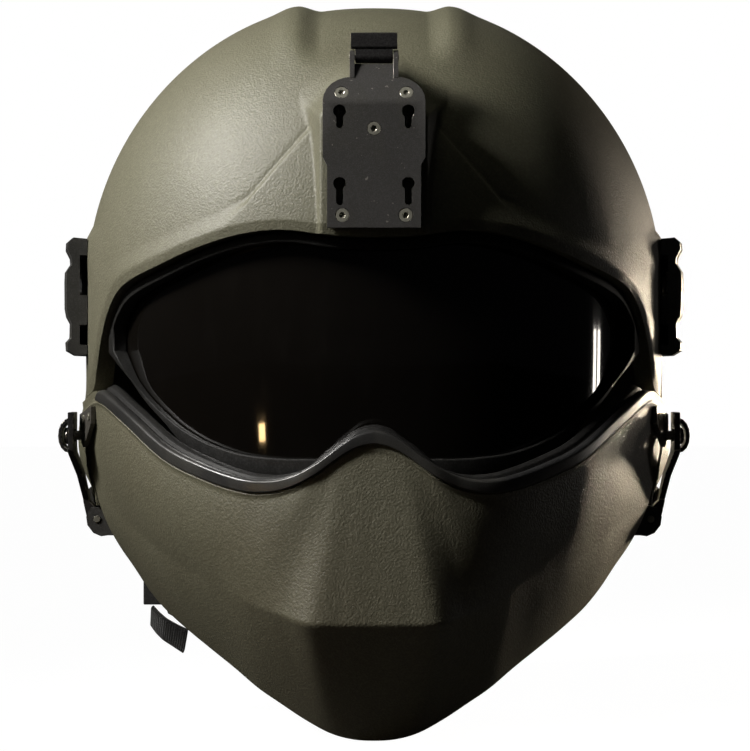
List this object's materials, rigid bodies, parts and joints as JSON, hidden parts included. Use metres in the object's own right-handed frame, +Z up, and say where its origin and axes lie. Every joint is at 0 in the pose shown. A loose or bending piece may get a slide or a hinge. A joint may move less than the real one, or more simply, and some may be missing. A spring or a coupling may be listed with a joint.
{
  "type": "ballistic helmet",
  "caption": "Full-face ballistic helmet with a front mounting shroud, side rails, a visor lens behind the brow, a removable mandible guard on two side latches, and a padded liner.",
  "frame": {"origin": "middle of the base of the bounding box, at the lowest point of the chin", "axes": "+Z up, -Y the way the wearer faces, +X the wearer's left"},
  "size_m": [0.2688, 0.2763, 0.3045],
  "materials": {
    "shell": "matt olive paint with a fine grit over a moulded composite shell",
    "trim_rubber": "smooth black rubber edging",
    "shroud_plate": "dark grey anodised plate, worn at the edges",
    "black_plastic": "matt black moulded plastic",
    "dark_steel": "dark steel",
    "screw_steel": "plain steel",
    "lens": "smoked polycarbonate lens",
    "pad_fabric": "knitted cover over foam",
    "hook_tape": "black hook tape",
    "webbing": "woven nylon webbing",
    "cup_plastic": "soft moulded chin cup"
  },
  "bodies": {
    "helmet": {"shell": "shell", "rim_trim": "trim_rubber", "visor_frame": "trim_rubber", "shroud_plate": "shroud_plate", "shroud_base": "black_plastic", "rail_left": "black_plastic", "rail_right": "black_plastic", "visor_clip_left": "black_plastic", "visor_clip_right": "black_plastic", "latch_block_left": "black_plastic", "latch_block_right": "black_plastic", "band_left": "black_plastic", "band_right": "black_plastic", "band_posts": "black_plastic", "dial_housing": "black_plastic", "buckle_socket": "black_plastic", "buckle_plug": "black_plastic", "strap_anchors": "dark_steel", "shroud_screws": "screw_steel", "shroud_latch_pin": "screw_steel", "rail_screws_left": "screw_steel", "rail_screws_right": "screw_steel", "latch_pin_left": "screw_steel", "latch_pin_right": "screw_steel", "visor_lens": "lens", "crown_pad": "pad_fabric", "front_pad": "pad_fabric", "rear_pad": "pad_fabric", "side_pad_front_left": "pad_fabric", "side_pad_front_right": "pad_fabric", "side_pad_rear_left": "pad_fabric", "side_pad_rear_right": "pad_fabric", "nape_pad": "pad_fabric", "pad_discs": "hook_tape", "chin_strap_left": "webbing", "chin_strap_right": "webbing", "strap_tail": "webbing", "chin_cup": "cup_plastic"},
    "mandible_guard": {"mandible": "shell", "mandible_trim": "trim_rubber", "chin_pad": "pad_fabric", "cheek_pad_left": "pad_fabric", "cheek_pad_right": "pad_fabric", "latch_leaf_left": "dark_steel", "latch_leaf_right": "dark_steel", "leaf_screws_left": "screw_steel", "leaf_screws_right": "screw_steel"},
    "latch_left": {"latch_arm_left": "dark_steel"},
    "latch_right": {"latch_arm_right": "dark_steel"},
    "shroud_lever": {"shroud_latch": "dark_steel"},
    "fit_dial": {"dial_knob": "black_plastic"},
    "prong_front": {"buckle_prong_front": "black_plastic"},
    "prong_rear": {"buckle_prong_rear": "black_plastic"}
  },
  "joints": [
    {"name": "mandible_slide", "type": "slide", "parent": "helmet", "child": "mandible_guard", "axis": [0, -1, 0], "range_m": [0, 0.06]},
    {"name": "latch_left_swing", "type": "hinge", "parent": "helmet", "child": "latch_left", "pos_m": [0.1186, -0.01285, 0.085], "axis": [0, 1, 0], "range_deg": [0, 100]},
    {"name": "latch_right_swing", "type": "hinge", "parent": "helmet", "child": "latch_right", "pos_m": [-0.1186, -0.01285, 0.085], "axis": [0, -1, 0], "range_deg": [0, 100]},
    {"name": "shroud_lever_tilt", "type": "hinge", "parent": "helmet", "child": "shroud_lever", "pos_m": [0, -0.12335, 0.271], "axis": [-1, 0, 0], "range_deg": [0, 25], "stiffness_Nm_per_rad": 0.3, "springref_deg": -17.19},
    {"name": "fit_dial_turn", "type": "hinge", "parent": "helmet", "child": "fit_dial", "pos_m": [0, 0.1115, 0.088], "axis": [0, 1, 0], "continuous": true},
    {"name": "prong_front_bend", "type": "hinge", "parent": "helmet", "child": "prong_front", "pos_m": [-0.0955, -0.00705, 0.0606], "axis": [-1, 0, 0], "range_deg": [0, 7], "stiffness_Nm_per_rad": 0.8, "springref_deg": -5.73},
    {"name": "prong_rear_bend", "type": "hinge", "parent": "helmet", "child": "prong_rear", "pos_m": [-0.0955, 0.00935, 0.0606], "axis": [1, 0, 0], "range_deg": [0, 7], "stiffness_Nm_per_rad": 0.8, "springref_deg": -5.73}
  ],
  "couplings": [
    {"joint": "latch_left_swing", "follows": "mandible_slide", "rad_per_m": 29.08},
    {"joint": "latch_right_swing", "follows": "mandible_slide", "rad_per_m": 29.08}
  ]
}
